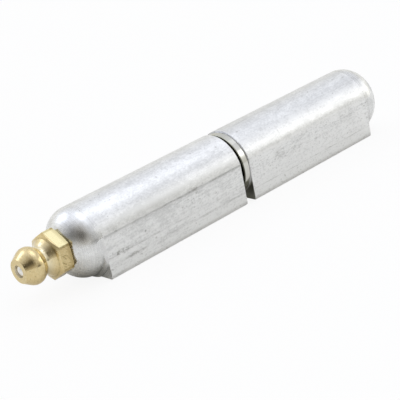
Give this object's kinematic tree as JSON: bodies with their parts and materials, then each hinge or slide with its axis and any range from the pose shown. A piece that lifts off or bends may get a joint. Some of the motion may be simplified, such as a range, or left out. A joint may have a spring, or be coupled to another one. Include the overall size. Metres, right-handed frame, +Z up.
{
  "type": "weld-on barrel hinge",
  "caption": "Lift-off barrel hinge with flat-sided knuckles to weld on, a thrust washer on the pin and a brass grease nipple screwed into one nose.",
  "frame": {"origin": "middle of the footprint, on the surface that the squared feet lie on; the hinge line runs 6.5 mm above it and 0.085 mm to the -Y side", "axes": "+X along the hinge line from the greased half to the pin half, the weld flats face -Y, +Z up from the feet"},
  "size_m": [0.0882, 0.0128, 0.013],
  "materials": {
    "aluminium": "mill finish as extruded, turned on the noses",
    "pin_steel": "ground bright steel, oiled",
    "washer_steel": "satin turned steel",
    "brass": "turned brass, lightly marked",
    "ball_steel": "polished bearing ball",
    "spring_steel": "drawn spring wire"
  },
  "bodies": {
    "pin_half": {"pin_knuckle": "aluminium", "hinge_pin": "pin_steel"},
    "washer": {"thrust_washer": "washer_steel"},
    "greased_half": {"greased_knuckle": "aluminium", "grease_nipple": "brass", "check_spring": "spring_steel"},
    "ball": {"check_ball": "ball_steel"}
  },
  "joints": [
    {"name": "swing", "type": "hinge", "parent": "pin_half", "child": "washer", "pos_m": [0.00365, -0.00009, 0.0065], "axis": [1, 0, 0], "continuous": true},
    {"name": "lift_off", "type": "slide", "parent": "washer", "child": "greased_half", "axis": [-1, 0, 0], "range_m": [-0.0005, 0.034]},
    {"name": "check_ball_travel", "type": "slide", "parent": "greased_half", "child": "ball", "axis": [1, 0, 0], "range_m": [0, 0.0009], "stiffness_N_per_m": 300, "springref_m": -0.0008, "deforming": ["check_spring"]}
  ]
}
